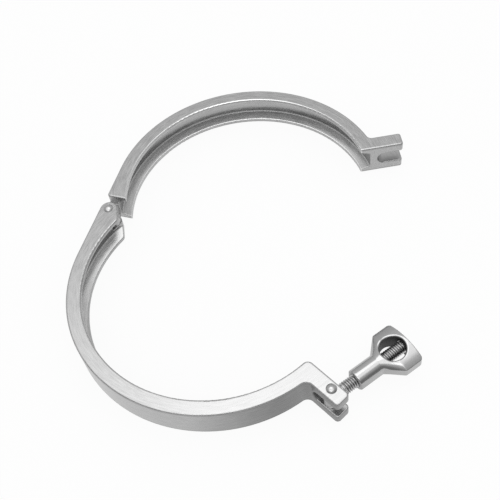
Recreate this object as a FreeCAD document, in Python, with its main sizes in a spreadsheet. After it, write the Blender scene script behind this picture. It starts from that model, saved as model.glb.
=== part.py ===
import FreeCAD, Part
import math
import os

import Sketcher
from FreeCAD import Placement, Rotation, Vector

# Hinged sanitary clamp, lying flat and open. Millimetres and degrees.
# The origin is the centre of the fork jaw's groove circle at mid-height, +Z is up along
# the pipe's axis, and +X runs along the fork jaw's split face to its lug.

doc = FreeCAD.newDocument("SanitaryClamp")

driving_sizes = [
    # the band that both jaws share
    ("lipRadius", 81.5, "inside radius of the two lips"),
    ("grooveDepth", 6.5, "depth of the groove behind the lips"),
    ("bandWall", 3.0, "thickness of the wall behind the groove"),
    ("jawHeight", 22.2, "height of both jaws"),
    ("lipHeight", 2.8, "height of each lip at its inner edge"),
    ("flankAngle", 20, "slope of the groove's flanks"),
    ("edgeRadius", 1.0, "rounding of the jaws' long edges"),
    ("mouthRadius", 0.4, "rounding of the lips at the groove's mouth"),
    ("grooveCornerRadius", 0.7, "hollow between the groove's flanks and its back wall"),
    # the lugs and the slots that the swing bolt lies in
    ("lugThickness", 10.2, "thickness of both lugs"),
    ("forkLugLength", 22.7, "length of the fork lug beyond the band"),
    ("slotLugLength", 18.2, "length of the slotted lug beyond the band"),
    ("slotLugOffset", 14.6, "height of the slotted lug's face over the hinge line"),
    ("forkTipRadius", 2.4, "rounding of the fork lug's tip"),
    ("slotTipRadius", 1.8, "rounding of the slotted lug's tip"),
    ("forkRootRadius", 4.5, "fillet between the fork lug and the band"),
    ("slotRootRadius", 3.5, "fillet between the slotted lug and the band"),
    ("lugInnerRadius", 3.8, "rounding where the fork lug meets the lips"),
    ("slotHeight", 8.9, "height of both lugs' slots"),
    ("forkSlotStart", 3.7, "start of the fork lug's slot beyond the band"),
    ("lugSlotStart", 0.9, "start of the slotted lug's slot beyond the band"),
    ("slotRimRadius", 0.8, "rounding of the slots' rims"),
    # the jaw hinge
    ("hingeStandOff", 2.35, "distance of the hinge pin beyond the band"),
    ("hingeAngle", 5.7, "angle of the hinge pin past the split line"),
    ("openAngle", 47.9, "opening of the jaws as they lie"),
    ("earRadius", 5.9, "end radius of the fork jaw's ears"),
    ("earSideAngle", 41.9, "angle between the ears' inner side and the centre line"),
    ("earCornerRadius", 4.0, "rounding where the ears meet the lips"),
    ("tongueRadius", 5.2, "end radius of the slotted jaw's tongue"),
    ("tongueHeight", 6.8, "height of the tongue"),
    ("tonguePlay", 0.25, "play between the tongue and each ear"),
    ("hingeGapPlay", 1.5, "play between the ears' end and the floor of their gap"),
    ("flangeGap", 4.5, "gap between the ears' end and the slanted flange ends"),
    ("flangeSlant", 24.5, "slant of the flange ends"),
    ("flangeCornerRadius", 2.0, "rounding of the flange ends' outer corners"),
    # the two rivets
    ("rivetRadius", 2.4, "shank radius of both rivets"),
    ("rivetHeadRadius", 3.15, "radius of the rivets' heads"),
    ("rivetHeadRise", 1.4, "rise of the rivets' domed heads"),
    ("rivetHeadRim", 0.3, "height of the straight rim under the dome"),
    ("rivetPlay", 0.05, "running clearance round a rivet"),
    # the swing bolt
    ("boltPinSetback", 9.75, "distance of the bolt's rivet from the fork lug's tip"),
    ("boltPinInset", 4.6, "distance of the bolt's rivet from the split face"),
    ("boltLean", 8.2, "angle of the bolt outwards from square to the split face"),
    ("boltRadius", 3.97, "outside radius of the screw thread"),
    ("boltNeckRadius", 3.4, "radius of the plain neck beside the eye"),
    ("boltNeckLength", 2.9, "length of the plain neck beyond the eye"),
    ("boltLength", 52.3, "length of the bolt from its rivet"),
    ("boltEndChamfer", 0.8, "chamfer at the bolt's end"),
    ("eyeRadius", 4.7, "outside radius of the bolt's eye"),
    ("eyePlay", 0.3, "play between the eye and each ear"),
    # the wing nut
    ("nutPlace", 16.5, "distance of the nut's boss from the bolt's rivet"),
    ("nutRoll", -1.5, "turn of the wings about the bolt"),
    ("bossRadius", 6.4, "radius of the nut's boss"),
    ("bossFlat", 5.9, "distance of the boss's trimmed flats from its axis"),
    ("bossEdgeRadius", 1.2, "rounding of the boss's end"),
    ("wingRim", 5.6, "height of the wings at their rim"),
    ("wingCrown", 7.3, "height of the wings' crown over the bolt's axis"),
    ("wingNeck", 16.4, "place where the wings leave the boss"),
    ("wingFlare", 9.6, "length of the flare from the neck to the wings' sides"),
    ("wingWidth", 29.6, "width over the wings"),
    ("wingSide", 12.4, "length of the wings' sides"),
    ("wingAllowance", 0.3, "what the nut's outline trims from the loft's sides and end"),
    ("wingWaistRadius", 3.0, "hollow between the boss's flats and the wings"),
    ("wingCornerRadius", 2.2, "rounding of the wings' corners"),
    ("nutHoleRadius", 7.7, "radius of the hole through the wings"),
    ("nutHolePlace", 11.9, "distance of the hole's centre beyond the neck"),
    ("nutHoleRim", 1.1, "rounding of the hole's rims"),
    ("nutBorePlay", 0.08, "clearance of the nut's bore over the thread"),
    ("nutMouth", 0.9, "depth of the countersink at the nut's mouth"),
    ("boltEndPlay", 0.4, "play between the bolt's end and the end of the nut's bore"),
]

# Sizes that follow from the driving ones
derived_sizes = [
    ("grooveRadius", "=lipRadius + grooveDepth"),
    ("bandRadius", "=grooveRadius + bandWall"),
    ("grooveBackHeight", "=jawHeight / 2 - lipHeight - grooveDepth * tan(flankAngle)"),
    ("forkLugReach", "=bandRadius + forkLugLength"),
    ("slotLugReach", "=bandRadius + slotLugLength"),
    ("forkSlotEnd", "=bandRadius + forkSlotStart"),
    ("lugSlotEnd", "=bandRadius + lugSlotStart"),
    ("hingeRadius", "=bandRadius + hingeStandOff"),
    ("hingeGapDepth", "=earRadius + hingeGapPlay"),
    ("flangeDistance", "=earRadius + flangeGap"),
    ("boltPinReach", "=forkLugReach - boltPinSetback"),
    ("boltNeckEnd", "=eyeRadius + boltNeckLength"),
    ("wingStart", "=wingNeck + wingFlare"),
    ("wingEnd", "=wingStart + wingSide"),
    ("wingArch", "=wingCrown - wingRim / 2"),
    ("wingArchRadius", "=((wingWidth / 2) ^ 2 + wingArch ^ 2) / (2 * wingArch)"),
    ("nutHoleCentre", "=wingNeck + nutHolePlace"),
    ("boreEnd", "=max(nutHoleCentre; boltLength - nutPlace + boltEndPlay)"),
]

sheet = doc.addObject("Spreadsheet::Sheet", "Sizes")
rows = [(alias, str(value)) for alias, value, meaning in driving_sizes] + derived_sizes
for row, (alias, content) in enumerate(rows, 1):
    sheet.set(f"A{row}", alias)
    sheet.set(f"B{row}", content)
    sheet.setAlias(f"B{row}", alias)
doc.recompute()
size = {alias: float(sheet.get(alias)) for alias, content in rows}


# Sketching helpers

# A constraint takes the points of an element, and a sketch's axes, by number
POINTS = ("edge", "start", "end", "middle")
AXES = {"x axis": -1, "y axis": -2}
ORIGIN = ("x axis", "start")


def numbered(elements):
    """Turns the names of points and axes into their numbers."""
    points = {name: number for number, name in enumerate(POINTS)}
    return [AXES.get(item, points.get(item, item)) for item in elements]


def polar(radius, angle, centre=(0, 0)):
    turn = math.radians(angle)
    return Vector(centre[0] + radius * math.cos(turn), centre[1] + radius * math.sin(turn), 0)


def new_body(label):
    body = doc.addObject("PartDesign::Body", label)
    body.Label = label
    return body


def new_sketch(body, name, plane):
    sketch = body.newObject("Sketcher::SketchObject", name)
    support = next(item for item in body.Origin.OriginFeatures if item.Role == plane)
    sketch.AttachmentSupport = [(support, "")]
    sketch.MapMode = "FlatFace"
    return sketch


def move_sketch(sketch, x="0", y="0", z="0", angle="0"):
    """Shifts and turns a sketch on its plane by expressions."""
    place = [float(sketch.evalExpression(text)) for text in (x, y, z, angle)]
    sketch.AttachmentOffset = Placement(Vector(*place[:3]), Rotation(Vector(0, 0, 1), place[3]))
    for path, text in zip(("Base.x", "Base.y", "Base.z", "Rotation.Angle"), (x, y, z, angle)):
        sketch.setExpression(f"AttachmentOffset.{path}", text)


def dimension(sketch, expression, kind, *elements):
    """Adds a dimension to a sketch and binds it to the sheet."""
    value = float(sketch.evalExpression(expression))
    if kind == "Angle":
        value = math.radians(value)
    index = sketch.addConstraint(Sketcher.Constraint(kind, *numbered(elements), value))
    sketch.setExpression(f"Constraints[{index}]", expression)


def relate(sketch, kind, *elements):
    sketch.addConstraint(Sketcher.Constraint(kind, *numbered(elements)))


def add_line(sketch, start, end):
    return sketch.addGeometry(Part.LineSegment(Vector(*start[:2], 0), Vector(*end[:2], 0)), False)


def add_arc(sketch, centre, radius, start_angle, end_angle):
    circle = Part.Circle(Vector(*centre[:2], 0), Vector(0, 0, 1), radius)
    arc = Part.ArcOfCircle(circle, math.radians(start_angle), math.radians(end_angle))
    return sketch.addGeometry(arc, False)


def add_polygon(sketch, points):
    """Draws a closed outline of straight lines and returns their indices."""
    lines = [add_line(sketch, start, end) for start, end in zip(points, points[1:] + points[:1])]
    for line, following in zip(lines, lines[1:] + lines[:1]):
        relate(sketch, "Coincident", line, "end", following, "start")
    return lines


def fix_point(sketch, element, end, x_expression, y_expression):
    """Ties a point to a place that the sheet gives, on an axis where it is zero."""
    if x_expression == "0":
        relate(sketch, "PointOnObject", element, end, "y axis")
    else:
        dimension(sketch, x_expression, "DistanceX", *ORIGIN, element, end)
    if y_expression == "0":
        relate(sketch, "PointOnObject", element, end, "x axis")
    else:
        dimension(sketch, y_expression, "DistanceY", *ORIGIN, element, end)


def bound_polygon(sketch, corners):
    """Draws a polygon whose corners are pairs of expressions."""
    points = [[float(sketch.evalExpression(text)) for text in corner] for corner in corners]
    lines = add_polygon(sketch, points)
    for line, (x_expression, y_expression) in zip(lines, corners):
        fix_point(sketch, line, "start", x_expression, y_expression)


def bound_circle(sketch, x_expression, y_expression, radius_expression):
    place = [float(sketch.evalExpression(text)) for text in (x_expression, y_expression)]
    radius = float(sketch.evalExpression(radius_expression))
    circle = sketch.addGeometry(Part.Circle(Vector(*place, 0), Vector(0, 0, 1), radius), False)
    fix_point(sketch, circle, "middle", x_expression, y_expression)
    dimension(sketch, radius_expression, "Radius", circle)


# Feature helpers

def add_feature(body, kind, name, sketch):
    feature = body.newObject(f"PartDesign::{kind}", name)
    feature.Profile = sketch
    sketch.Visibility = False
    return feature


def pad(body, name, sketch, length):
    """Raises a sketch equally to both sides of its plane."""
    feature = add_feature(body, "Pad", name, sketch)
    feature.SideType = "Symmetric"
    feature.setExpression("Length", length)
    doc.recompute()
    return feature


def pocket(body, name, sketch, length, side="Symmetric"):
    """Cuts a sketch out of a body, and stops if nothing was cut."""
    before = body.Shape.Volume
    feature = add_feature(body, "Pocket", name, sketch)
    feature.SideType = side
    feature.setExpression("Length", length)
    doc.recompute()
    assert body.Shape.Volume < before - 1, f"{name} cuts nothing"
    return feature


def revolve(body, name, sketch, axis, kind="Revolution"):
    """Turns a sketch a full turn about one of its axes, to add or to cut."""
    before = body.Shape.Volume if kind == "Groove" else 0
    feature = add_feature(body, kind, name, sketch)
    feature.ReferenceAxis = (sketch, [axis])
    feature.Angle = 360
    doc.recompute()
    if kind == "Groove":
        assert body.Shape.Volume < before - 1, f"{name} cuts nothing"
    return feature


def mirror(body, name, original, plane):
    """Repeats a feature on the other side of one of the body's origin planes."""
    feature = body.newObject("PartDesign::Mirrored", name)
    feature.Originals = [original]
    support = next(item for item in body.Origin.OriginFeatures if item.Role == plane)
    feature.MirrorPlane = (support, [""])
    body.Tip = feature
    doc.recompute()
    return feature


def fillet(body, name, test, radius):
    """Rounds every edge of the body's last feature that passes a test."""
    base = body.Tip
    names = [f"Edge{index}" for index, edge in enumerate(base.Shape.Edges, 1) if test(edge)]
    assert names, f"{name} finds no edge"
    feature = body.newObject("PartDesign::Fillet", name)
    feature.Base = (base, names)
    feature.Radius = float(feature.evalExpression(radius))
    feature.setExpression("Radius", radius)
    doc.recompute()
    return feature


NEAR = 0.01


def upright_at(*points):
    """Tests for an upright edge that stands on one of some points of the plan."""
    def test(edge):
        box = edge.BoundBox
        if box.XLength > NEAR or box.YLength > NEAR:
            return False
        return any(math.hypot(box.XMin - point[0], box.YMin - point[1]) < NEAR for point in points)
    return test


def level_at(height, within=None):
    """Tests for an edge that lies level, above or below mid-height by a height."""
    def test(edge):
        box = edge.BoundBox
        level = box.ZLength < NEAR and abs(abs(box.ZMin) - height) < NEAR
        return level and (within is None or within(edge))
    return test


def on_circle(radius):
    """Tests for an arc of a circle about the upright axis through the origin."""
    def test(edge):
        curve = edge.Curve
        return isinstance(curve, Part.Circle) and abs(curve.Radius - radius) < NEAR \
            and math.hypot(curve.Center.x, curve.Center.y) < NEAR
    return test


# Shapes that both jaws have

def cut_groove(body):
    """Cuts the V groove with its slanted flanks and rounds the lips at its mouth."""
    mouth, back = "Sizes.jawHeight / 2 - Sizes.lipHeight", "Sizes.grooveBackHeight"
    sketch = new_sketch(body, f"{body.Name}_groove_section", "XZ_Plane")
    bound_polygon(sketch, [
        ("Sizes.lipRadius / 2", f"-({mouth})"), ("Sizes.lipRadius", f"-({mouth})"),
        ("Sizes.grooveRadius", f"-({back})"), ("Sizes.grooveRadius", back),
        ("Sizes.lipRadius", mouth), ("Sizes.lipRadius / 2", mouth)])
    revolve(body, f"{body.Name}_groove", sketch, "V_Axis", "Groove")
    height = size["jawHeight"] / 2 - size["lipHeight"]
    fillet(body, f"{body.Name}_mouth", level_at(height, on_circle(size["lipRadius"])), "Sizes.mouthRadius")
    back_corners = level_at(size["grooveBackHeight"], on_circle(size["grooveRadius"]))
    fillet(body, f"{body.Name}_groove_corners", back_corners, "Sizes.grooveCornerRadius")


def cut_lug_slot(body, slot_end, reach, depth):
    """Cuts the bolt's slot, round at its closed end and open at the lug's tip."""
    sketch = new_sketch(body, f"{body.Name}_slot_outline", "XZ_Plane")
    half = size["slotHeight"] / 2
    middle, open_end = size[slot_end] + half, size[reach] + half
    end = add_arc(sketch, (middle, 0), half, 90, 270)
    low = add_line(sketch, (middle, -half), (open_end, -half))
    side = add_line(sketch, (open_end, -half), (open_end, half))
    high = add_line(sketch, (open_end, half), (middle, half))
    relate(sketch, "Tangent", end, "end", low, "start")
    relate(sketch, "Coincident", low, "end", side, "start")
    relate(sketch, "Coincident", side, "end", high, "start")
    relate(sketch, "Tangent", high, "end", end, "start")
    relate(sketch, "Horizontal", low)
    relate(sketch, "Vertical", side)
    relate(sketch, "PointOnObject", end, "middle", "x axis")
    dimension(sketch, "Sizes.slotHeight / 2", "Radius", end)
    dimension(sketch, f"Sizes.{slot_end} + Sizes.slotHeight / 2", "DistanceX", *ORIGIN, end, "middle")
    dimension(sketch, f"Sizes.{reach} + Sizes.slotHeight / 2", "DistanceX", *ORIGIN, side, "start")
    pocket(body, f"{body.Name}_slot", sketch, depth)
    long_rims = level_at(half, lambda edge: edge.BoundBox.XLength > 1)
    fillet(body, f"{body.Name}_slot_rims", long_rims, "Sizes.slotRimRadius")


def drill(body, name, x_expression, y_expression):
    """Drills the upright hole for a rivet."""
    sketch = new_sketch(body, f"{body.Name}_{name}_circle", "XY_Plane")
    bound_circle(sketch, x_expression, y_expression, "Sizes.rivetRadius + Sizes.rivetPlay")
    pocket(body, f"{body.Name}_{name}", sketch, "Sizes.jawHeight * 2")


hinge_x = "Sizes.hingeRadius * cos(180 + Sizes.hingeAngle)"
hinge_y = "Sizes.hingeRadius * sin(180 + Sizes.hingeAngle)"
hinge = polar(size["hingeRadius"], 180 + size["hingeAngle"])
half_height = size["jawHeight"] / 2


# Fork jaw: the band with a forked lug at one end and two hinge ears at the other

def make_fork_jaw():
    body = new_body("fork_jaw")
    lip, band, ear = size["lipRadius"], size["bandRadius"], size["earRadius"]
    reach, thickness = size["forkLugReach"], size["lugThickness"]
    tangent = 180 + size["hingeAngle"] + math.degrees(math.acos((band - ear) / size["hingeRadius"]))
    side = size["hingeAngle"] - size["earSideAngle"]
    side_start = polar(ear, side + 90, hinge)
    run = polar(1, side)
    along = side_start.dot(run)
    side_end = side_start + run * (-along - math.sqrt(along ** 2 - side_start.Length ** 2 + lip ** 2))
    side_end_angle = math.degrees(math.atan2(side_end.y, side_end.x)) % 360
    root = (math.sqrt(band ** 2 - thickness ** 2), -thickness)
    root_angle = 360 + math.degrees(math.atan2(root[1], root[0]))

    outline = new_sketch(body, "fork_jaw_outline", "XY_Plane")
    face = add_line(outline, (lip, 0), (reach, 0))
    tip = add_line(outline, (reach, 0), (reach, -thickness))
    under = add_line(outline, (reach, -thickness), root)
    outer = add_arc(outline, (0, 0), band, tangent, root_angle)
    ear_outer = add_line(outline, polar(band, tangent), polar(ear, tangent, hinge))
    ear_end = add_arc(outline, hinge, ear, side + 90, tangent)
    ear_inner = add_line(outline, side_start, side_end)
    inner = add_arc(outline, (0, 0), lip, side_end_angle, 360)

    relate(outline, "Coincident", face, "end", tip, "start")
    relate(outline, "Coincident", tip, "end", under, "start")
    relate(outline, "Coincident", under, "end", outer, "end")
    relate(outline, "Tangent", outer, "start", ear_outer, "start")
    relate(outline, "Tangent", ear_outer, "end", ear_end, "end")
    relate(outline, "Tangent", ear_end, "start", ear_inner, "start")
    relate(outline, "Coincident", ear_inner, "end", inner, "start")
    relate(outline, "Coincident", inner, "end", face, "start")
    relate(outline, "PointOnObject", face, "start", "x axis")
    for level in (face, under):
        relate(outline, "Horizontal", level)
    relate(outline, "Vertical", tip)
    for arc in (outer, inner):
        relate(outline, "Coincident", arc, "middle", *ORIGIN)
    fix_point(outline, ear_end, "middle", hinge_x, hinge_y)
    dimension(outline, "Sizes.forkLugReach", "DistanceX", *ORIGIN, tip, "start")
    dimension(outline, "Sizes.lugThickness", "DistanceY", tip, "end", tip, "start")
    dimension(outline, "Sizes.bandRadius", "Radius", outer)
    dimension(outline, "Sizes.lipRadius", "Radius", inner)
    dimension(outline, "Sizes.earRadius", "Radius", ear_end)
    dimension(outline, "Sizes.hingeAngle - Sizes.earSideAngle", "Angle", ear_inner)
    pad(body, "fork_jaw_body", outline, "Sizes.jawHeight")

    fillet(body, "fork_jaw_tip", upright_at((reach, 0), (reach, -thickness)), "Sizes.forkTipRadius")
    fillet(body, "fork_jaw_root", upright_at(root), "Sizes.forkRootRadius")
    fillet(body, "fork_jaw_split_corner", upright_at((lip, 0)), "Sizes.lugInnerRadius")
    fillet(body, "fork_jaw_ear_corner", upright_at(side_end), "Sizes.earCornerRadius")
    fillet(body, "fork_jaw_edges", level_at(half_height), "Sizes.edgeRadius")
    cut_groove(body)
    cut_lug_slot(body, "forkSlotEnd", "forkLugReach", "4 * Sizes.lugThickness")

    gap = new_sketch(body, "fork_jaw_hinge_gap_outline", "XY_Plane")
    move_sketch(gap, hinge_x, hinge_y, angle="Sizes.hingeAngle - Sizes.earSideAngle")
    bound_polygon(gap, [
        ("Sizes.hingeGapDepth", "-4 * Sizes.earRadius"), ("Sizes.hingeGapDepth", "4 * Sizes.earRadius"),
        ("-2 * Sizes.earRadius", "4 * Sizes.earRadius"), ("-2 * Sizes.earRadius", "-4 * Sizes.earRadius")])
    pocket(body, "fork_jaw_hinge_gap", gap, "Sizes.tongueHeight + 2 * Sizes.tonguePlay")
    drill(body, "hinge_hole", hinge_x, hinge_y)
    drill(body, "bolt_hole", "Sizes.boltPinReach", "-Sizes.boltPinInset")
    return body


# Slotted jaw: the band with a slotted lug at one end and a hinge tongue at the other.
# Its own +X points from the hinge pin through the centre to the lug.

def make_slotted_jaw():
    body = new_body("slotted_jaw")
    lip, band, tongue = size["lipRadius"], size["bandRadius"], size["tongueRadius"]
    reach, thickness, offset = size["slotLugReach"], size["lugThickness"], size["slotLugOffset"]
    pin = Vector(-size["hingeRadius"], 0, 0)
    tangent = 180 - math.degrees(math.acos((band - tongue) / size["hingeRadius"]))
    slant, gap = size["flangeSlant"], size["flangeDistance"]
    across = polar(1, -slant)
    cut_start = pin + polar(gap, 90 - slant)
    flange_foot = cut_start + across * ((pin.x + tongue - cut_start.x) / across.x)
    along = cut_start.dot(across)
    lip_foot = cut_start + across * (-along - math.sqrt(along ** 2 - cut_start.Length ** 2 + lip ** 2))
    lip_foot_angle = math.degrees(math.atan2(lip_foot.y, lip_foot.x))
    face_start = (math.sqrt(lip ** 2 - offset ** 2), offset)
    root = (math.sqrt(band ** 2 - (offset + thickness) ** 2), offset + thickness)
    outer_line = polar(band, tangent)
    outer_run = polar(1, tangent + 90)
    outer_foot = outer_line + outer_run * (
        (polar(1, 90 - slant).dot(cut_start) - polar(1, 90 - slant).dot(outer_line))
        / polar(1, 90 - slant).dot(outer_run))

    outline = new_sketch(body, "slotted_jaw_outline", "XY_Plane")
    face = add_line(outline, face_start, (reach, offset))
    tip = add_line(outline, (reach, offset), (reach, offset + thickness))
    over = add_line(outline, (reach, offset + thickness), root)
    outer = add_arc(outline, (0, 0), band, math.degrees(math.atan2(root[1], root[0])), tangent)
    tongue_outer = add_line(outline, outer_line, polar(tongue, tangent, pin))
    tongue_end = add_arc(outline, pin, tongue, tangent, 360)
    tongue_inner = add_line(outline, pin + Vector(tongue, 0, 0), flange_foot)
    flange_end = add_line(outline, flange_foot, lip_foot)
    face_angle = math.degrees(math.atan2(offset, face_start[0]))
    inner = add_arc(outline, (0, 0), lip, face_angle, lip_foot_angle)

    relate(outline, "Coincident", face, "end", tip, "start")
    relate(outline, "Coincident", tip, "end", over, "start")
    relate(outline, "Coincident", over, "end", outer, "start")
    relate(outline, "Tangent", outer, "end", tongue_outer, "start")
    relate(outline, "Tangent", tongue_outer, "end", tongue_end, "start")
    relate(outline, "Tangent", tongue_end, "end", tongue_inner, "start")
    relate(outline, "Coincident", tongue_inner, "end", flange_end, "start")
    relate(outline, "Coincident", flange_end, "end", inner, "end")
    relate(outline, "Coincident", inner, "start", face, "start")
    for level in (face, over):
        relate(outline, "Horizontal", level)
    for upright in (tip, tongue_inner):
        relate(outline, "Vertical", upright)
    for arc in (outer, inner):
        relate(outline, "Coincident", arc, "middle", *ORIGIN)
    fix_point(outline, tongue_end, "middle", "-Sizes.hingeRadius", "0")
    dimension(outline, "Sizes.slotLugOffset", "DistanceY", *ORIGIN, face, "start")
    dimension(outline, "Sizes.slotLugReach", "DistanceX", *ORIGIN, tip, "start")
    dimension(outline, "Sizes.lugThickness", "DistanceY", tip, "start", tip, "end")
    dimension(outline, "Sizes.bandRadius", "Radius", outer)
    dimension(outline, "Sizes.lipRadius", "Radius", inner)
    dimension(outline, "Sizes.tongueRadius", "Radius", tongue_end)
    dimension(outline, "-Sizes.flangeSlant", "Angle", flange_end)
    dimension(outline, "Sizes.flangeDistance", "Distance", tongue_end, "middle", flange_end)
    pad(body, "slotted_jaw_body", outline, "Sizes.jawHeight")

    tip_corners = upright_at((reach, offset), (reach, offset + thickness))
    fillet(body, "slotted_jaw_tip", tip_corners, "Sizes.slotTipRadius")
    fillet(body, "slotted_jaw_root", upright_at(root), "Sizes.slotRootRadius")

    flange = new_sketch(body, "slotted_jaw_flange_cut_outline", "XY_Plane")
    move_sketch(flange, "-Sizes.hingeRadius", "0", "Sizes.jawHeight / 2", "-Sizes.flangeSlant")
    wide, deep, edge = "5 * Sizes.tongueRadius", "-3 * Sizes.tongueRadius", "Sizes.flangeDistance"
    bound_polygon(flange, [(f"-{wide}", edge), (wide, edge), (wide, deep), (f"-{wide}", deep)])
    depth = "(Sizes.jawHeight - Sizes.tongueHeight) / 2"
    cut = pocket(body, "slotted_jaw_flange_cut", flange, depth, "One side")
    mirror(body, "slotted_jaw_flange_cuts", cut, "XY_Plane")
    fillet(body, "slotted_jaw_flange_corner", upright_at(outer_foot), "Sizes.flangeCornerRadius")
    fillet(body, "slotted_jaw_edges", level_at(half_height), "Sizes.edgeRadius")
    cut_groove(body)
    cut_lug_slot(body, "lugSlotEnd", "slotLugReach", "4 * (Sizes.slotLugOffset + Sizes.lugThickness)")
    drill(body, "hinge_hole", "-Sizes.hingeRadius", "0")
    return body


# Rivets: a plain shank with a low domed head at each end

def make_rivet(label):
    body = new_body(label)
    shank, head = size["rivetRadius"], size["rivetHeadRadius"]
    seat, rim = half_height, half_height + size["rivetHeadRim"]
    crown = rim + size["rivetHeadRise"]
    dome = (head ** 2 + size["rivetHeadRise"] ** 2) / (2 * size["rivetHeadRise"])
    spread = math.degrees(math.asin(head / dome))
    section = new_sketch(body, f"{label}_section", "XZ_Plane")
    seat_line = add_line(section, (shank, seat), (head, seat))
    rim_line = add_line(section, (head, seat), (head, rim))
    crown_arc = add_arc(section, (0, crown - dome), dome, 90 - spread, 90)
    axis_line = add_line(section, (0, crown), (0, 0))
    foot_line = add_line(section, (0, 0), (shank, 0))
    shank_line = add_line(section, (shank, 0), (shank, seat))
    chain = (axis_line, foot_line, shank_line, seat_line, rim_line, crown_arc)
    for first, second in zip(chain, chain[1:]):
        relate(section, "Coincident", first, "end", second, "start")
    relate(section, "Coincident", crown_arc, "end", axis_line, "start")
    fix_point(section, foot_line, "start", "0", "0")
    relate(section, "PointOnObject", axis_line, "start", "y axis")
    relate(section, "PointOnObject", crown_arc, "middle", "y axis")
    relate(section, "Horizontal", foot_line)
    relate(section, "Horizontal", seat_line)
    relate(section, "Vertical", rim_line)
    dimension(section, "Sizes.rivetRadius", "DistanceX", *ORIGIN, shank_line, "start")
    relate(section, "Vertical", shank_line)
    dimension(section, "Sizes.rivetHeadRadius", "DistanceX", *ORIGIN, seat_line, "end")
    dimension(section, "Sizes.jawHeight / 2", "DistanceY", *ORIGIN, seat_line, "start")
    dimension(section, "Sizes.rivetHeadRim", "DistanceY", rim_line, "start", rim_line, "end")
    dimension(section, "Sizes.jawHeight / 2 + Sizes.rivetHeadRim + Sizes.rivetHeadRise",
              "DistanceY", *ORIGIN, axis_line, "start")
    half = revolve(body, f"{label}_half", section, "V_Axis")
    mirror(body, f"{label}_whole", half, "XY_Plane")
    return body


# Swing bolt: an eye round the rivet, a plain neck and the screw, along its own +X

def make_swing_bolt():
    body = new_body("swing_bolt")
    shank = new_sketch(body, "swing_bolt_section", "XY_Plane")
    bound_polygon(shank, [
        ("0", "0"), ("Sizes.boltLength", "0"),
        ("Sizes.boltLength", "Sizes.boltRadius - Sizes.boltEndChamfer"),
        ("Sizes.boltLength - Sizes.boltEndChamfer", "Sizes.boltRadius"),
        ("Sizes.boltNeckEnd + Sizes.boltRadius - Sizes.boltNeckRadius", "Sizes.boltRadius"),
        ("Sizes.boltNeckEnd", "Sizes.boltNeckRadius"), ("0", "Sizes.boltNeckRadius")])
    revolve(body, "swing_bolt_shank", shank, "H_Axis")
    eye = new_sketch(body, "swing_bolt_eye_circle", "XY_Plane")
    bound_circle(eye, "0", "0", "Sizes.eyeRadius")
    pad(body, "swing_bolt_eye", eye, "Sizes.slotHeight - 2 * Sizes.eyePlay")
    hole = new_sketch(body, "swing_bolt_eye_hole_circle", "XY_Plane")
    bound_circle(hole, "0", "0", "Sizes.rivetRadius + Sizes.rivetPlay")
    pocket(body, "swing_bolt_eye_hole", hole, "2 * Sizes.slotHeight")
    return body


# Wing nut: one loft from the round boss to the arched wings, trimmed all round to an
# outline with a flat rim, and a large hole through it. Its own +X runs along the bolt.

def nut_section(body, name, distance, half_width, radius, rise):
    """Draws a section across the bolt: two flat sides joined by an arc above and below."""
    section = new_sketch(body, f"{body.Name}_{name}_section", "YZ_Plane")
    move_sketch(section, z=distance)
    half, arc, centre = [float(section.evalExpression(item)) for item in (half_width, radius, rise)]
    spread = math.degrees(math.asin(half / arc))
    top = centre + arc * math.cos(math.radians(spread))
    right = add_line(section, (half, -top), (half, top))
    over = add_arc(section, (0, centre), arc, 90 - spread, 90 + spread)
    left = add_line(section, (-half, top), (-half, -top))
    under = add_arc(section, (0, -centre), arc, 270 - spread, 270 + spread)
    chain = (right, over, left, under)
    for element, following in zip(chain, chain[1:] + chain[:1]):
        relate(section, "Coincident", element, "end", following, "start")
    for line, sign in ((right, ""), (left, "-")):
        relate(section, "Vertical", line)
        dimension(section, f"{sign}({half_width})", "DistanceX", *ORIGIN, line, "start")
    fix_point(section, over, "middle", "0", rise)
    fix_point(section, under, "middle", "0", rise if rise == "0" else f"-({rise})")
    for element in (over, under):
        dimension(section, radius, "Radius", element)
    return section


def make_nut_loft():
    """Lofts the nut's whole length through four sections, a little too wide and long."""
    body = new_body("wing_nut_casting")
    boss = ("Sizes.bossFlat + Sizes.wingAllowance", "Sizes.bossRadius", "0")
    wings = ("Sizes.wingWidth / 2 + Sizes.wingAllowance", "Sizes.wingArchRadius",
             "Sizes.wingCrown - Sizes.wingArchRadius")
    sections = [
        nut_section(body, "boss_end", "0", *boss),
        nut_section(body, "neck", "Sizes.wingNeck", *boss),
        nut_section(body, "wing_start", "Sizes.wingStart", *wings),
        nut_section(body, "wing_end", "Sizes.wingEnd + Sizes.wingAllowance", *wings)]
    loft = add_feature(body, "AdditiveLoft", "wing_nut_loft", sections[0])
    loft.Sections = sections[1:]
    loft.Ruled = True
    doc.recompute()
    return body


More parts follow.
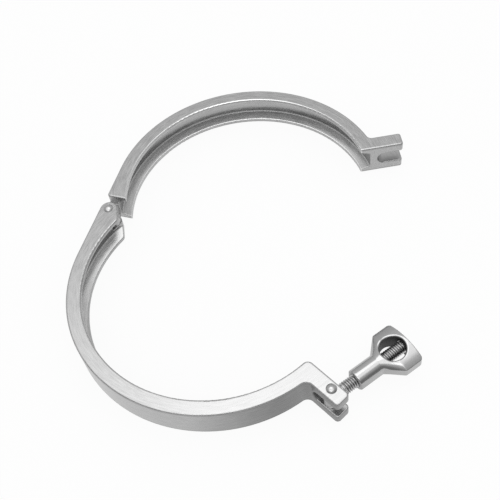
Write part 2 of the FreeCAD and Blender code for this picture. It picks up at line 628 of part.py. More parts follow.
def make_wing_nut():
    casting = make_nut_loft()
    body = new_body("wing_nut")
    flat, half = size["bossFlat"], size["wingWidth"] / 2
    outline = new_sketch(body, "wing_nut_outline", "XY_Plane")
    bound_polygon(outline, [
        ("-Sizes.bossRadius", "-Sizes.bossFlat"), ("Sizes.wingNeck", "-Sizes.bossFlat"),
        ("Sizes.wingStart", "-Sizes.wingWidth / 2"), ("Sizes.wingEnd", "-Sizes.wingWidth / 2"),
        ("Sizes.wingEnd", "Sizes.wingWidth / 2"), ("Sizes.wingStart", "Sizes.wingWidth / 2"),
        ("Sizes.wingNeck", "Sizes.bossFlat"), ("-Sizes.bossRadius", "Sizes.bossFlat")])
    pad(body, "wing_nut_plan", outline, "4 * Sizes.wingCrown")
    corners = [(x, y) for x in (size["wingStart"], size["wingEnd"]) for y in (half, -half)]
    neck_sides = [(size["wingNeck"], flat), (size["wingNeck"], -flat)]
    fillet(body, "wing_nut_corners", upright_at(*corners), "Sizes.wingCornerRadius")
    fillet(body, "wing_nut_waist", upright_at(*neck_sides), "Sizes.wingWaistRadius")
    trimmed = body.newObject("PartDesign::Boolean", "wing_nut_trimmed")
    trimmed.Type = "Common"
    trimmed.addObjects([casting])
    doc.recompute()

    hole = new_sketch(body, "wing_nut_hole_circle", "XY_Plane")
    bound_circle(hole, "Sizes.nutHoleCentre", "0", "Sizes.nutHoleRadius")
    pocket(body, "wing_nut_hole", hole, "4 * Sizes.wingCrown")

    def is_rim(edge):
        middle = Vector(size["nutHoleCentre"], 0, 0)
        return all(abs(math.hypot(point.x - middle.x, point.y) - size["nutHoleRadius"]) < NEAR
                   for point in edge.discretize(5)) and edge.BoundBox.XLength > 1

    fillet(body, "wing_nut_hole_rims", is_rim, "Sizes.nutHoleRim")
    fillet(body, "wing_nut_boss_end", lambda edge: edge.BoundBox.XMax < NEAR, "Sizes.bossEdgeRadius")

    bore_radius = "Sizes.boltRadius + Sizes.nutBorePlay"
    bore = new_sketch(body, "wing_nut_bore_section", "XY_Plane")
    bound_polygon(bore, [
        ("-Sizes.bossRadius", "0"), ("Sizes.boreEnd", "0"), ("Sizes.boreEnd", bore_radius),
        ("Sizes.nutMouth", bore_radius),
        ("-Sizes.bossRadius", f"{bore_radius} + Sizes.nutMouth + Sizes.bossRadius")])
    revolve(body, "wing_nut_bore", bore, "H_Axis", "Groove")
    return body


fork_jaw = make_fork_jaw()
slotted_jaw = make_slotted_jaw()
hinge_pin = make_rivet("hinge_pin")
bolt_pin = make_rivet("bolt_pin")
swing_bolt = make_swing_bolt()
wing_nut = make_wing_nut()
parts = [fork_jaw, slotted_jaw, hinge_pin, bolt_pin, swing_bolt, wing_nut]


# Where each piece lies, all worked out from the sheet

def place(body, x="0", y="0", angle="0"):
    """Stands a body at a place in the plan, turned about the upright."""
    values = [float(body.evalExpression(text)) for text in (x, y, angle)]
    body.Placement = Placement(Vector(values[0], values[1], 0), Rotation(Vector(0, 0, 1), values[2]))
    for path, text in zip(("Base.x", "Base.y", "Rotation.Angle"), (x, y, angle)):
        body.setExpression(f"Placement.{path}", text)


open_turn = "Sizes.hingeAngle + Sizes.openAngle"
pin_x, pin_y = "Sizes.boltPinReach", "-Sizes.boltPinInset"
bolt_turn = "90 - Sizes.boltLean"
place(slotted_jaw, f"{hinge_x} + Sizes.hingeRadius * cos({open_turn})",
      f"{hinge_y} + Sizes.hingeRadius * sin({open_turn})", open_turn)
place(hinge_pin, hinge_x, hinge_y)
place(bolt_pin, pin_x, pin_y)
place(swing_bolt, pin_x, pin_y, bolt_turn)
wing_nut.setExpression(
    "Placement",
    f"create(<<placement>>; create(<<vector>>; {pin_x} + Sizes.nutPlace * cos({bolt_turn}); "
    f"{pin_y} + Sizes.nutPlace * sin({bolt_turn}); 0); rotationz({bolt_turn}) * rotationx(Sizes.nutRoll))")
doc.recompute()

# Checks, then one file for each piece

for item in doc.Objects:
    faults = {"Invalid", "Error"} & set(item.State)
    assert not faults, f"{item.Label} is {faults}"
os.makedirs("parts", exist_ok=True)
for part in parts:
    shape = part.Shape
    assert not shape.isNull() and shape.isValid(), f"{part.Label} has no sound shape"
    assert len(shape.Solids) == 1, f"{part.Label} has {len(shape.Solids)} solids"
    print(part.Label, "volume", round(shape.Volume, 1), "faces", len(shape.Faces))
    shape.exportStep(f"parts/{part.Label}.step")
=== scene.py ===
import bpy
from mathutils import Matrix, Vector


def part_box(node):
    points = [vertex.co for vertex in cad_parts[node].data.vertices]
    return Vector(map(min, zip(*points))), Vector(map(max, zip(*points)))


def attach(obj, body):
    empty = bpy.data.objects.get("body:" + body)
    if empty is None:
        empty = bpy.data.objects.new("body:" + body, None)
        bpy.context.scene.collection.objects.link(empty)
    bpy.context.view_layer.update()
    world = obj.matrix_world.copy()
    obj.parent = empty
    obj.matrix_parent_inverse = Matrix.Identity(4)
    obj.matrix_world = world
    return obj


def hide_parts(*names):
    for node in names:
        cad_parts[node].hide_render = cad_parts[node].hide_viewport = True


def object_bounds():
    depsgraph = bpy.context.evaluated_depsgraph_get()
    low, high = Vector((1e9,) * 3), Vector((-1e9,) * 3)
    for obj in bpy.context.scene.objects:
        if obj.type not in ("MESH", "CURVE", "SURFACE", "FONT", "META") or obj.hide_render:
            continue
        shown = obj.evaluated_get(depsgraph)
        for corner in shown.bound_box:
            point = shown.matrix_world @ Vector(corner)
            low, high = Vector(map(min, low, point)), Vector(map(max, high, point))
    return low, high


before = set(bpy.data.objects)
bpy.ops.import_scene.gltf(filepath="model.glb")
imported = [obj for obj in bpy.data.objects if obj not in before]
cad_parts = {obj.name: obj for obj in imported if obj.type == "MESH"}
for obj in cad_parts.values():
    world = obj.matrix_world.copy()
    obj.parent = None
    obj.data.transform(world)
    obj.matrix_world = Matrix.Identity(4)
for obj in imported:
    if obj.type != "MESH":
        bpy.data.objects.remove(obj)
cadBox = [list(corner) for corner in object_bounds()]

import math

import bmesh
import bpy
from mathutils import Matrix, Vector

scene = bpy.context.scene
scene.view_settings.view_transform = "Standard"
mm = 0.001
mmPerMetre = 1000.0
origin = (0, 0, 0)
white = (1, 1, 1, 1)
print("frame loaded", sorted(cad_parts))


# Small helpers for node trees

def addNode(tree, kind, values=None, **settings):
    # a node with its own settings, then values or links for its input sockets
    node = tree.nodes.new(kind)
    for name, value in settings.items():
        setattr(node, name, value)
    for name, value in (values or {}).items():
        if hasattr(value, "is_output"):
            tree.links.new(value, node.inputs[name])
        else:
            node.inputs[name].default_value = value
    return node


def addMath(tree, operation, *values, clamp=False):
    return addNode(tree, "ShaderNodeMath", dict(enumerate(values)),
                   operation=operation, use_clamp=clamp).outputs[0]


def addRamp(tree, value, span, levels=(0.0, 1.0), smooth=False):
    # the first level up to the span's start, the second from its end on
    kind = "SMOOTHSTEP" if smooth else "LINEAR"
    return addNode(tree, "ShaderNodeMapRange", {
        "Value": value, "From Min": span[0], "From Max": span[1],
        "To Min": levels[0], "To Max": levels[1]}, interpolation_type=kind).outputs[0]


def addMix(tree, share, first, second):
    values = {0: share, 2: first, 3: second}
    return addNode(tree, "ShaderNodeMix", values, data_type="FLOAT").outputs[0]


def addColourMix(tree, share, first, second):
    values = {0: share, 6: first, 7: second}
    return addNode(tree, "ShaderNodeMix", values, data_type="RGBA").outputs[2]


def grey(tone):
    return (tone, tone, tone, 1)


def addNoise(tree, vector, scale, detail, roughness):
    return addNode(tree, "ShaderNodeTexNoise", {
        "Vector": vector, "Scale": scale, "Detail": detail, "Roughness": roughness}).outputs["Fac"]


def addContrast(tree, value, amount):
    # spreads a value about its middle
    aside = addMath(tree, "SUBTRACT", value, 0.5)
    return addMath(tree, "MULTIPLY_ADD", aside, amount, 0.5, clamp=True)


def splitPlace(tree, place):
    return addNode(tree, "ShaderNodeSeparateXYZ", {"Vector": place}).outputs


def localPlace(tree, place, centre, turn=origin):
    # the place as measured from a centre, along turned axes
    return addNode(tree, "ShaderNodeMapping", {
        "Vector": place, "Location": centre, "Rotation": turn}, vector_type="TEXTURE").outputs[0]


def inMm(tree, length):
    return addMath(tree, "MULTIPLY", length, mmPerMetre)


def spanOf(tree, first, second):
    # the distance that two lengths at a right angle make
    squares = [addMath(tree, "MULTIPLY", side, side) for side in (first, second)]
    return addMath(tree, "SQRT", addMath(tree, "ADD", *squares))


def addSocket(tree, name, kind, direction, value=None):
    socket = tree.interface.new_socket(name=name, in_out=direction, socket_type=kind)
    if value is not None:
        socket.default_value = value


def openTree(block):
    # the emptied node tree of a material or world
    block.use_nodes = True
    block.node_tree.nodes.clear()
    return block.node_tree


def openGroup(name, numbers):
    # a shader node group that takes a place and some numbers
    tree = bpy.data.node_groups.new(name, "ShaderNodeTree")
    addSocket(tree, "Vector", "NodeSocketVector", "INPUT")
    for socket, value in numbers.items():
        addSocket(tree, socket, "NodeSocketFloat", "INPUT", value)
    return tree, tree.nodes.new("NodeGroupInput").outputs


def closeGroup(tree, results):
    for socket in results:
        addSocket(tree, socket, "NodeSocketFloat", "OUTPUT")
    addNode(tree, "NodeGroupOutput", results)
    return tree


# Finishes that several materials share. Noises are given by their detail and roughness.

castSkin = {
    "grit": (3.0, 0.6),
    "pits": (2.0, 0.5),
    "wave": (1.0, 0.5),
    "pitRate": 0.28,  # the pits' scale as a share of the grit's
    "waveDepth": 6.0,
    "gritShare": 0.55,
    "contrast": 2.4,
}


def makeCastGrain():
    # the skin of a sanded casting: fine grit, soft pits and a slow waviness
    tree, given = openGroup("castGrain", {
        "Grit Size mm": 0.35, "Wave Size mm": 9.0, "Grit": 0.5, "Waviness": 0.5})
    gritScale = addMath(tree, "DIVIDE", mmPerMetre, given["Grit Size mm"])
    pitScale = addMath(tree, "MULTIPLY", gritScale, castSkin["pitRate"])
    waveScale = addMath(tree, "DIVIDE", mmPerMetre, given["Wave Size mm"])
    grit = addNoise(tree, given["Vector"], gritScale, *castSkin["grit"])
    pits = addNoise(tree, given["Vector"], pitScale, *castSkin["pits"])
    wave = addNoise(tree, given["Vector"], waveScale, *castSkin["wave"])
    fine = addMath(tree, "MULTIPLY", addMath(tree, "ADD", grit, pits),
                   addMath(tree, "MULTIPLY", given["Grit"], 0.5))
    slow = addMath(tree, "MULTIPLY", wave,
                   addMath(tree, "MULTIPLY", given["Waviness"], castSkin["waveDepth"]))
    tone = addMix(tree, castSkin["gritShare"], pits, grit)
    return closeGroup(tree, {
        "Tone": addContrast(tree, tone, castSkin["contrast"]),
        "Height": addMath(tree, "ADD", fine, slow)})


lineSkin = {"noise": (3.0, 0.65), "perRadian": 9.0, "contrast": 2.6}


def makeTurnedLines():
    # fine lines that run round an upright axis, as a belt or a lathe leaves them
    tree, given = openGroup("turnedLines", {"Line Size mm": 0.25})
    parts = splitPlace(tree, given["Vector"])
    around = addMath(tree, "ARCTAN2", parts["Y"], parts["X"])
    radius = spanOf(tree, parts["X"], parts["Y"])
    scale = addMath(tree, "DIVIDE", mmPerMetre, given["Line Size mm"])
    stretched = addNode(tree, "ShaderNodeCombineXYZ", {
        "X": addMath(tree, "MULTIPLY", around, lineSkin["perRadian"]),
        "Y": addMath(tree, "MULTIPLY", radius, scale),
        "Z": addMath(tree, "MULTIPLY", parts["Z"], scale)}).outputs[0]
    noise = addNoise(tree, stretched, 1.0, *lineSkin["noise"])
    return closeGroup(tree, {"Lines": addContrast(tree, noise, lineSkin["contrast"])})


def makeRoundMask():
    # 1 within a radius of the upright axis, 0 outside
    tree, given = openGroup("roundMask", {"Radius mm": 8.0, "Blur mm": 0.3})
    parts = splitPlace(tree, given["Vector"])
    radius = inMm(tree, spanOf(tree, parts["X"], parts["Y"]))
    edge = addMath(tree, "ADD", given["Radius mm"], given["Blur mm"])
    return closeGroup(tree, {"Mask": addRamp(tree, radius, (given["Radius mm"], edge), (1.0, 0.0))})


slotBlur = {"insideMm": 0.4, "outsideMm": 0.3}


def makeSlotMask():
    # 1 within a slot that is round at its start and runs out along X, 0 outside
    tree, given = openGroup("slotMask", {"Half Height mm": 4.5, "Middle mm": 94.0})
    parts = splitPlace(tree, given["Vector"])
    height = inMm(tree, parts["Z"])
    short = addMath(tree, "SUBTRACT", given["Middle mm"], inMm(tree, parts["X"]))
    away = spanOf(tree, addMath(tree, "MAXIMUM", short, 0.0), height)
    start = addMath(tree, "SUBTRACT", given["Half Height mm"], slotBlur["insideMm"])
    end = addMath(tree, "ADD", given["Half Height mm"], slotBlur["outsideMm"])
    return closeGroup(tree, {"Mask": addRamp(tree, away, (start, end), (1.0, 0.0))})


def makeShadeEdgeLine():
    # a painted shade line along each level edge, for the dark that the edge's rounding reflects
    tree, given = openGroup("shadeEdgeLine", {"Height mm": 10.0, "Width mm": 0.4, "Strength": 1.0})
    height = inMm(tree, addMath(tree, "ABSOLUTE", splitPlace(tree, given["Vector"])["Z"]))
    away = addMath(tree, "ABSOLUTE", addMath(tree, "SUBTRACT", height, given["Height mm"]))
    mask = addRamp(tree, away, (0.0, given["Width mm"]), (given["Strength"], 0.0))
    return closeGroup(tree, {"Mask": mask})


def makeRimHighlight():
    # a painted highlight line round the lips' circle, for the light that the edge catches
    tree, given = openGroup("rimHighlight", {"Radius mm": 82.0, "Width mm": 0.4})
    parts = splitPlace(tree, given["Vector"])
    radius = inMm(tree, spanOf(tree, parts["X"], parts["Y"]))
    away = addMath(tree, "ABSOLUTE", addMath(tree, "SUBTRACT", radius, given["Radius mm"]))
    core = addMath(tree, "MULTIPLY", given["Width mm"], 0.5)
    return closeGroup(tree, {"Mask": addRamp(tree, away, (core, given["Width mm"]), (1.0, 0.0))})


castGrain = makeCastGrain()
turnedLines = makeTurnedLines()
roundMask = makeRoundMask()
slotMask = makeSlotMask()
shadeEdgeLine = makeShadeEdgeLine()
rimHighlight = makeRimHighlight()
bevelSamples = 8


def patch(mask, values, place=origin, turn=origin, shade="paintedShade"):
    # where a steel takes the tone and roughness that its look gives for painted shade or for a
    # painted highlight
    return {"mask": mask, "values": values, "place": place, "turn": turn, "shade": shade}


def makeSteel(name, look, centre=origin, patches=()):
    # stainless steel: the grain and the lines make its tone, roughness and relief. Patches of
    # painted shade make places darker and rougher, and patches of painted highlight make them
    # brighter.
    material = bpy.data.materials.new(name)
    tree = openTree(material)
    place = addNode(tree, "ShaderNodeTexCoord").outputs["Object"]
    local = localPlace(tree, place, centre)
    grain = addNode(tree, "ShaderNodeGroup", {
        "Vector": local, "Grit Size mm": look["Grit Size mm"], "Wave Size mm": look["Wave Size mm"],
        "Grit": look["Grit"], "Waviness": look["Waviness"]}, node_tree=castGrain).outputs
    lines = addNode(tree, "ShaderNodeGroup", {
        "Vector": local, "Line Size mm": look["Line Size mm"]}, node_tree=turnedLines).outputs[0]
    lined = addMath(tree, "MULTIPLY", lines, look["lineDepth"])
    relief = addMath(tree, "ADD", grain["Height"], lined)
    rounded = addNode(tree, "ShaderNodeBevel", {"Radius": look["edgeMm"] * mm},
                      samples=bevelSamples).outputs[0]
    bump = addNode(tree, "ShaderNodeBump", {
        "Height": relief, "Strength": look["bump"], "Distance": look["bumpMm"] * mm,
        "Normal": rounded}).outputs[0]
    mixed = addMix(tree, look["lineTone"], grain["Tone"], lines)
    colour = addColourMix(tree, mixed, grey(look["dark"]), grey(look["light"]))
    spread = look["roughnessSpread"]
    roughness = addRamp(tree, mixed, (0.0, 1.0),
                        (look["roughness"] - spread, look["roughness"] + spread))
    # painted shade or a painted highlight, each within its mask, over the steel's own tone
    for item in patches:
        near = localPlace(tree, place, item["place"], item["turn"])
        share = addNode(tree, "ShaderNodeGroup", {"Vector": near, **item["values"]},
                        node_tree=item["mask"]).outputs["Mask"]
        colour = addColourMix(tree, share, colour, grey(look[item["shade"] + "Tone"]))
        roughness = addMix(tree, share, roughness, look[item["shade"] + "Roughness"])
    steel = addNode(tree, "ShaderNodeBsdfPrincipled", {
        "Base Color": colour, "Metallic": 1.0, "Roughness": roughness, "Normal": bump})
    addNode(tree, "ShaderNodeOutputMaterial", {"Surface": steel.outputs[0]})
    return material


# Meshes

weld = {
    "distance": 1e-6,
    "flatDegrees": 0.2,  # faces within this angle of each other become one
    "joinDegrees": 2,
    "shapeDegrees": 180,
    "sharpDegrees": 32,
}


def keepResult(piece):
    # keeps the plain mesh that an object's modifiers give, and removes them
    graph = bpy.context.evaluated_depsgraph_get()
    mesh = bpy.data.meshes.new_from_object(piece.evaluated_get(graph), depsgraph=graph)
    piece.modifiers.clear()
    piece.data = mesh


def mergedCopy(nodeName, name, sharpDegrees=weld["sharpDegrees"]):
    # a welded copy of a node's mesh, smooth but for the edges over an angle
    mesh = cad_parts[nodeName].data.copy()
    mesh.name = name
    mesh.materials.clear()
    shape = bmesh.new()
    shape.from_mesh(mesh)
    bmesh.ops.remove_doubles(shape, verts=shape.verts, dist=weld["distance"])
    bmesh.ops.dissolve_limit(shape, angle_limit=math.radians(weld["flatDegrees"]),
                             verts=shape.verts, edges=shape.edges)
    bmesh.ops.join_triangles(shape, faces=[face for face in shape.faces if len(face.verts) == 3],
                             angle_face_threshold=math.radians(weld["joinDegrees"]),
                             angle_shape_threshold=math.radians(weld["shapeDegrees"]))
    for face in shape.faces:
        face.smooth = True
    for edge in shape.edges:
        edge.smooth = not edge.is_manifold or edge.calc_face_angle(0) < math.radians(sharpDegrees)
    shape.to_mesh(mesh)
    shape.free()
    mesh.update()
    piece = bpy.data.objects.new(name, mesh)
    scene.collection.objects.link(piece)
    # the wide faces keep their own direction, so that they shine evenly
    weigh = piece.modifiers.new("weigh", "WEIGHTED_NORMAL")
    weigh.mode = "FACE_AREA"
    weigh.keep_sharp = True
    keepResult(piece)
    return piece


def finishPiece(piece, material, body, nodeName):
    piece.data.materials.clear()
    piece.data.materials.append(material)
    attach(piece, body)
    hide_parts(nodeName)


# Camera, as the photograph was taken

camera = {
    "place": (0.24397, -0.14626, 0.41504),
    "heading": 53.8,
    "tilt": 53.45,
    "roll": -9.46,
    "lens": 57.85,
    "sensorMm": 36,
    "nearest": 0.01,
}


def cameraPose():
    facing = Matrix.Rotation(math.radians(camera["heading"]), 3, "Z")
    tilt, roll = math.radians(camera["tilt"]), math.radians(camera["roll"])
    forward = facing @ Vector((0, math.cos(tilt), -math.sin(tilt)))
    right = facing @ Vector((1, 0, 0))
    upward = right.cross(forward)
    sideAxis = right * math.cos(roll) + upward * math.sin(roll)
    upAxis = upward * math.cos(roll) - right * math.sin(roll)
    pose = Matrix((sideAxis, upAxis, -forward)).transposed().to_4x4()
    pose.translation = Vector(camera["place"])
    return pose


cameraData = bpy.data.cameras.new("camera")
cameraData.lens = camera["lens"]
cameraData.sensor_width = camera["sensorMm"]
cameraData.clip_start = camera["nearest"]
cameraObject = bpy.data.objects.new("camera", cameraData)
cameraObject.matrix_world = cameraPose()
scene.collection.objects.link(cameraObject)
scene.camera = cameraObject
print("camera set")


# Floor, world and lamps

studio = {
    "floorSize": 8.0,
    "floorHeight": cadBox[0][2],  # the rivets' heads stand on it
    "floorPaint": 0.9,
    "floorGlow": 0.93,
    # the floor as the metal mirrors it is darker about the fork's lug: a painted shadow that only
    # reflections show
    "floorMirrored": 0.9,
    "floorShadowLevel": 0.42,
    "shadowPlace": (0.098, -0.028, 0),
    "shadowSpan": (0.01, 0.065),
    # what the metal mirrors: levels low down before and behind it, higher up and overhead,
    # and the spans of height over which one goes into the next
    "frontLow": 0.25,
    "backLow": 0.6,
    "middle": 0.76,
    "overhead": 1.6,
    "frontRise": (0.35, 0.85),
    "backRise": (0.1, 0.65),
    "sweepRise": (0.76, 0.855),
    "beyondCamera": (-0.807, 0.591, 0),
    "beyondSpan": (-0.5, 0.5),
    # the bright sweep overhead comes lower down on the left
    "leftOfCamera": (-0.591, -0.807, 0),
    "lean": 0.1,
    "ambient": 0.85,
    "boxPlace": (-0.08, 0.12, 0.60),
    "boxRadius": 0.20,
    "boxRadiance": 0.6,
    "stripPlace": (0.30, -0.40, 0.75),
    "stripSize": (0.50, 0.16),
    "stripRadiance": 1.2,
}


def mirroredRays(tree):
    # the kinds of ray, and 1 for those that come by way of the metal
    rays = addNode(tree, "ShaderNodeLightPath").outputs
    return rays, addMath(tree, "MAXIMUM", rays["Is Glossy Ray"], rays["Is Transmission Ray"])


def makeFloorMaterial():
    material = bpy.data.materials.new("floorWhite")
    tree = openTree(material)
    rays, mirrored = mirroredRays(tree)
    place = addNode(tree, "ShaderNodeTexCoord").outputs["Object"]
    # painted shadow about the fork's lug, seen only in the metal's reflections
    away = addNode(tree, "ShaderNodeVectorMath", {0: place, 1: studio["shadowPlace"]},
                   operation="DISTANCE").outputs["Value"]
    inMetal = addRamp(tree, away, studio["shadowSpan"],
                      (studio["floorShadowLevel"], studio["floorMirrored"]))
    level = addMix(tree, mirrored, 1.0, inMetal)
    paint = addNode(tree, "ShaderNodeBsdfDiffuse", {"Color": grey(studio["floorPaint"])})
    glow = addNode(tree, "ShaderNodeEmission", {"Color": white, "Strength": level})
    seen = addMath(tree, "MAXIMUM", rays["Is Camera Ray"], mirrored)
    share = addMath(tree, "MULTIPLY", seen, studio["floorGlow"])
    both = addNode(tree, "ShaderNodeMixShader", {
        0: share, 1: paint.outputs[0], 2: glow.outputs[0]})
    addNode(tree, "ShaderNodeOutputMaterial", {"Surface": both.outputs[0]})
    return material


def makeWorld():
    # white to the camera, a grey room with a bright ceiling to the metal
    world = bpy.data.worlds.new("studio")
    tree = openTree(world)
    direction = addNode(tree, "ShaderNodeTexCoord").outputs["Generated"]
    beyond, left = [
        addNode(tree, "ShaderNodeVectorMath", {0: direction, 1: studio[side]},
                operation="DOT_PRODUCT").outputs["Value"]
        for side in ("beyondCamera", "leftOfCamera")]
    height = addMath(tree, "MULTIPLY", splitPlace(tree, direction)["Z"],
                     addMath(tree, "MULTIPLY_ADD", left, studio["lean"], 1.0))
    front = addRamp(tree, height, studio["frontRise"],
                    (studio["frontLow"], studio["middle"]), smooth=True)
    back = addRamp(tree, height, studio["backRise"],
                   (studio["backLow"], studio["middle"]), smooth=True)
    walls = addRamp(tree, beyond, studio["beyondSpan"], (front, back), smooth=True)
    room = addRamp(tree, height, studio["sweepRise"], (walls, studio["overhead"]), smooth=True)
    rays, mirrored = mirroredRays(tree)
    unseen = addMix(tree, mirrored, studio["ambient"], room)
    level = addMix(tree, rays["Is Camera Ray"], unseen, 1.0)
    sky = addNode(tree, "ShaderNodeBackground", {"Color": white, "Strength": level})
    addNode(tree, "ShaderNodeOutputWorld", {"Surface": sky.outputs[0]})
    return world


def addSoftbox(name, place, target, radiance, **shape):
    lamp = bpy.data.lights.new(name, "AREA")
    for key, value in shape.items():
        setattr(lamp, key, value)
    if lamp.shape == "DISK":
        area = math.pi * lamp.size ** 2 / 4
    else:
        area = lamp.size * lamp.size_y
    lamp.energy = radiance * math.pi * area
    item = bpy.data.objects.new(name, lamp)
    item.location = place
    item.rotation_euler = (Vector(target) - Vector(place)).to_track_quat("-Z", "Y").to_euler()
    scene.collection.objects.link(item)


half = studio["floorSize"] / 2
corners = [(x, y, studio["floorHeight"])
           for x, y in ((-half, -half), (half, -half), (half, half), (-half, half))]
floorMesh = bpy.data.meshes.new("floor")
floorMesh.from_pydata(corners, [], [(0, 1, 2, 3)])
floorMesh.materials.append(makeFloorMaterial())
floor = bpy.data.objects.new("floor", floorMesh)
scene.collection.objects.link(floor)
scene.world = makeWorld()
addSoftbox("overheadBox", studio["boxPlace"], (*studio["boxPlace"][:2], 0), studio["boxRadiance"],
           shape="DISK", size=2 * studio["boxRadius"])
addSoftbox("frontStrip", studio["stripPlace"], origin, studio["stripRadiance"],
           shape="RECTANGLE", size=studio["stripSize"][0], size_y=studio["stripSize"][1])
print("studio set")


# Both jaws: satin castings, belted round their rims

jaws = {
    "slottedCentre": (-0.0375, 0.0659, 0),
    "slottedTurn": (0, 0, math.radians(53.6)),
    "forkSlot": {"Half Height mm": 4.45, "Middle mm": 98.65},
    "lugSlot": {"Half Height mm": 4.45, "Middle mm": 95.85},
    "edgeShadeSizes": {"Height mm": 10.0, "Width mm": 0.5, "Strength": 0.9},
    "lipHighlight": {"Radius mm": 81.85, "Width mm": 0.4},
}
jawLook = {
    "dark": 0.38, "light": 0.545, "roughness": 0.25, "roughnessSpread": 0.08,
    "Grit Size mm": 0.45, "Wave Size mm": 9.0, "Grit": 0.8, "Waviness": 0.25,
    "Line Size mm": 1.0, "lineDepth": 0.4, "lineTone": 0.82,
    "edgeMm": 1.0, "bump": 0.12, "bumpMm": 0.06,
    "paintedShadeTone": 0.28, "paintedShadeRoughness": 0.45, "paintedHighlightTone": 0.74, "paintedHighlightRoughness": 0.25,
}
# painted shade: a dark line just under the jaws' top and bottom edges
levelEdgeShade = patch(shadeEdgeLine, jaws["edgeShadeSizes"])

# painted shade darkens the insides of the fork's slot and of the lug's slot
forkSteel = makeSteel("forkJawSteel", jawLook, patches=[
    patch(slotMask, jaws["forkSlot"]), levelEdgeShade])
slottedSteel = makeSteel("slottedJawSteel", jawLook, jaws["slottedCentre"], [
    patch(slotMask, jaws["lugSlot"], jaws["slottedCentre"], jaws["slottedTurn"]), levelEdgeShade,
    # painted highlight: a bright line round the lips' inner edge
    patch(rimHighlight, jaws["lipHighlight"], jaws["slottedCentre"], shade="paintedHighlight")])
forkJaw = mergedCopy("fork_jaw", "forkJaw")
finishPiece(forkJaw, forkSteel, "fork_side", "fork_jaw")
slottedJaw = mergedCopy("slotted_jaw", "slottedJaw")
finishPiece(slottedJaw, slottedSteel, "slotted_side", "slotted_jaw")
print("jaws made")


# Rivets

rivetLook = {
    "dark": 0.42, "light": 0.52, "roughness": 0.2, "roughnessSpread": 0.05,
    "Grit Size mm": 0.3, "Wave Size mm": 2.5, "Grit": 0.3, "Waviness": 0.2,
    "Line Size mm": 0.2, "lineDepth": 0.1, "lineTone": 0.3,
    "edgeMm": 0.1, "bump": 0.25, "bumpMm": 0.04,
}
for nodeName, pieceName in (("hinge_pin", "hingeRivet"), ("bolt_pin", "boltRivet")):
    low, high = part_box(nodeName)
    middle = (low + high) / 2
    rivet = mergedCopy(nodeName, pieceName)
    rivetSteel = makeSteel(pieceName + "Steel", rivetLook, (middle.x, middle.y, 0))
    finishPiece(rivet, rivetSteel, "fork_side", nodeName)
print("rivets made")


# Swing bolt: the eye and neck, and a screw thread that a node tree winds

bolt = {
    "pivot": (0.10395, -0.0046, 0),
    "heading": 81.8,
    # the node tree's inputs of these names, in millimetres: radii, depth and places along it
    "thread": {
        "Crest": 3.97, "Depth": 0.866, "Pitch": 1.411, "Start": 7.2, "End": 52.3,
        "Neck": 3.4, "Neck End": 7.6, "Tip": 3.17,
    },
    "flank": (0.12, 0.8),  # from the flat of a crest at 0 to the flat of a root at 1
    "around": 64,
    "rowsPerTurn": 16,
    "endRows": 2,  # the rows that close each end
    "capShare": 0.95,  # the first ring of a closed end, as a share of its radius
    "eyeEndMm": 7.5,
    "rootShade": {"Radius mm": 3.05, "Blur mm": 0.45},
}


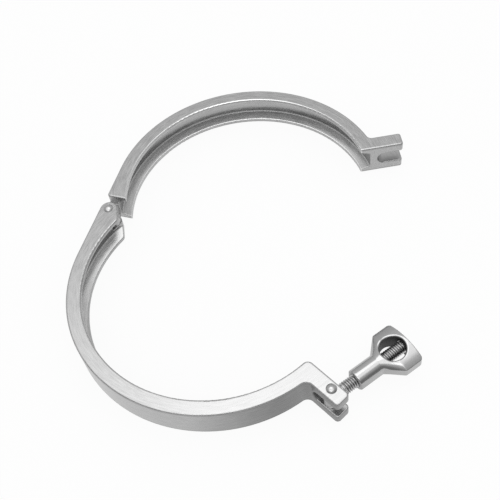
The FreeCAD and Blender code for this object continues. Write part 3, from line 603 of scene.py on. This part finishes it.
def makeThreadTree():
    tree = bpy.data.node_groups.new("screwThread", "GeometryNodeTree")
    addSocket(tree, "Geometry", "NodeSocketGeometry", "OUTPUT")
    for name, value in bolt["thread"].items():
        addSocket(tree, name, "NodeSocketFloat", "INPUT", value)
    addSocket(tree, "Around", "NodeSocketInt", "INPUT", bolt["around"])
    addSocket(tree, "Rows", "NodeSocketInt", "INPUT")
    addSocket(tree, "Steel", "NodeSocketMaterial", "INPUT")
    given = tree.nodes.new("NodeGroupInput").outputs

    def step(operation, *values, clamp=False):
        return addMath(tree, operation, *values, clamp=clamp)

    grid = addNode(tree, "GeometryNodeMeshGrid", {
        "Size X": 1.0, "Size Y": 1.0, "Vertices X": given["Rows"],
        "Vertices Y": step("ADD", given["Around"], 1)}).outputs["Mesh"]
    at = splitPlace(tree, addNode(tree, "GeometryNodeInputPosition").outputs[0])
    lastRow = step("SUBTRACT", given["Rows"], 1)
    row = step("ROUND", step("MULTIPLY", step("ADD", at["X"], 0.5), lastRow))
    angle = step("MULTIPLY", step("ADD", at["Y"], 0.5), 2 * math.pi)
    run = step("DIVIDE", step("SUBTRACT", row, bolt["endRows"]),
               step("SUBTRACT", lastRow, 2 * bolt["endRows"]), clamp=True)
    length = step("SUBTRACT", given["End"], given["Start"])
    along = step("MULTIPLY_ADD", run, length, given["Start"])
    fromEnd = step("MINIMUM", row, step("SUBTRACT", lastRow, row))
    closing = step("MULTIPLY", fromEnd, bolt["capShare"], clamp=True)
    # the helix: cut is 0 on a crest and 1 in a root
    turns = step("SUBTRACT", step("DIVIDE", along, given["Pitch"]),
                 step("DIVIDE", angle, 2 * math.pi))
    crest = step("MULTIPLY", step("ABSOLUTE", step("SUBTRACT", step("FRACT", turns), 0.5)), 2)
    cut = addRamp(tree, step("SUBTRACT", 1, crest), bolt["flank"])
    firstTurn = (given["Neck End"], step("ADD", given["Neck End"], given["Pitch"]))
    runOut = addRamp(tree, along, firstTurn)
    sunk = step("MULTIPLY", step("MULTIPLY", cut, runOut), given["Depth"])
    threaded = step("SUBTRACT", given["Crest"], sunk)
    pastNeck = step("MAXIMUM", step("SUBTRACT", along, given["Neck End"]), 0)
    necked = step("ADD", given["Neck"], pastNeck)
    tipped = step("ADD", given["Tip"], step("SUBTRACT", given["End"], along))
    radius = step("MULTIPLY", step("MINIMUM", threaded, step("MINIMUM", necked, tipped)), closing)
    place = addNode(tree, "ShaderNodeCombineXYZ", {
        "X": along, "Y": step("MULTIPLY", radius, step("COSINE", angle)),
        "Z": step("MULTIPLY", radius, step("SINE", angle))}).outputs[0]
    scaled = addNode(tree, "ShaderNodeVectorMath", {0: place, "Scale": mm}, operation="SCALE")
    mesh = addNode(tree, "GeometryNodeSetPosition", {
        "Geometry": grid, "Position": scaled.outputs[0]}).outputs[0]
    for kind, values in (
            ("GeometryNodeMergeByDistance", {"Distance": weld["distance"]}),
            ("GeometryNodeSetShadeSmooth", {}),
            ("GeometryNodeRealizeInstances", {}),
            ("GeometryNodeSetMaterial", {"Material": given["Steel"]})):
        mesh = addNode(tree, kind, {"Geometry": mesh, **values}).outputs[0]
    addNode(tree, "NodeGroupOutput", {"Geometry": mesh})
    return tree


def grownMesh(tree, name, values):
    # runs a node tree on an empty object and keeps the plain mesh
    holder = bpy.data.objects.new(name, bpy.data.meshes.new(name + "Base"))
    scene.collection.objects.link(holder)
    modifier = holder.modifiers.new("tree", "NODES")
    modifier.node_group = tree
    sockets = {item.name: item.identifier
               for item in tree.interface.items_tree if item.item_type == "SOCKET"}
    for key, value in values.items():
        modifier[sockets[key]] = value
    keepResult(holder)
    holder.data.name = name
    return holder


screwLook = {
    "dark": 0.66, "light": 0.8, "roughness": 0.3, "roughnessSpread": 0.06,
    "Grit Size mm": 0.3, "Wave Size mm": 4.0, "Grit": 0.3, "Waviness": 0.0,
    "Line Size mm": 0.2, "lineDepth": 0.1, "lineTone": 0.3,
    "edgeMm": 0.1, "bump": 0.2, "bumpMm": 0.03,
    "paintedShadeTone": 0.08, "paintedShadeRoughness": 0.5,
}
boltTurn = math.radians(bolt["heading"])
alongBolt = (0, math.radians(90), boltTurn)
boltPlace = Matrix.Translation(Vector(bolt["pivot"])) @ Matrix.Rotation(boltTurn, 4, "Z")
screwSteel = makeSteel("screwSteel", screwLook, bolt["pivot"])
# painted shade darkens the thread's roots
threadSteel = makeSteel("threadSteel", screwLook, bolt["pivot"], [
    patch(roundMask, bolt["rootShade"], bolt["pivot"], alongBolt)])
threadLength = bolt["thread"]["End"] - bolt["thread"]["Start"]
turnsOfThread = threadLength / bolt["thread"]["Pitch"]
threadRows = int(turnsOfThread * bolt["rowsPerTurn"]) + 2 * bolt["endRows"] + 1
screw = grownMesh(makeThreadTree(), "screwThread", {
    "Around": bolt["around"], "Rows": threadRows, "Steel": threadSteel})
screw.data.transform(boltPlace)
screw.data.update()
finishPiece(screw, threadSteel, "bolt", "swing_bolt")

# the eye and neck are the solid's, cut off and closed just inside the thread
eye = mergedCopy("swing_bolt", "boltEye")
eye.data.transform(boltPlace.inverted())
shape = bmesh.new()
shape.from_mesh(eye.data)
everything = shape.verts[:] + shape.edges[:] + shape.faces[:]
bmesh.ops.bisect_plane(shape, geom=everything, plane_co=(bolt["eyeEndMm"] * mm, 0, 0),
                       plane_no=(1, 0, 0), clear_outer=True)
bmesh.ops.holes_fill(shape, edges=[edge for edge in shape.edges if edge.is_boundary])
bmesh.ops.recalc_face_normals(shape, faces=shape.faces)
shape.to_mesh(eye.data)
shape.free()
eye.data.transform(boltPlace)
eye.data.update()
finishPiece(eye, screwSteel, "bolt", "swing_bolt")
print("bolt made", len(screw.data.polygons), "faces in its thread")


# Wing nut: a polished casting, so its shape is remeshed and softened

nut = {
    "voxelMm": 0.25,
    "softenFactor": 0.5,
    "softenSteps": 3,
    "holeMm": 44.8,
    "hole": {"Radius mm": 7.8, "Blur mm": 0.25},
    "sharpDegrees": 180,
}
nutLook = {
    "dark": 0.44, "light": 0.52, "roughness": 0.17, "roughnessSpread": 0.03,
    "Grit Size mm": 0.4, "Wave Size mm": 5.0, "Grit": 0.35, "Waviness": 0.3,
    "Line Size mm": 0.3, "lineDepth": 0.05, "lineTone": 0.2,
    "edgeMm": 0.3, "bump": 0.3, "bumpMm": 0.04,
    "paintedShadeTone": 0.07, "paintedShadeRoughness": 0.55,
}
holePlace = tuple(boltPlace @ Vector((nut["holeMm"] * mm, 0, 0)))
# painted shade on the hole's wall and in the bore
nutSteel = makeSteel("nutSteel", nutLook, bolt["pivot"], [
    patch(roundMask, nut["hole"], holePlace)])
wingNut = mergedCopy("wing_nut", "wingNut", nut["sharpDegrees"])
remesh = wingNut.modifiers.new("remesh", "REMESH")
remesh.mode = "VOXEL"
remesh.voxel_size = nut["voxelMm"] * mm
remesh.use_smooth_shade = True
soften = wingNut.modifiers.new("soften", "SMOOTH")
soften.factor = nut["softenFactor"]
soften.iterations = nut["softenSteps"]
keepResult(wingNut)
finishPiece(wingNut, nutSteel, "nut", "wing_nut")
print("nut made", len(wingNut.data.polygons), "faces")
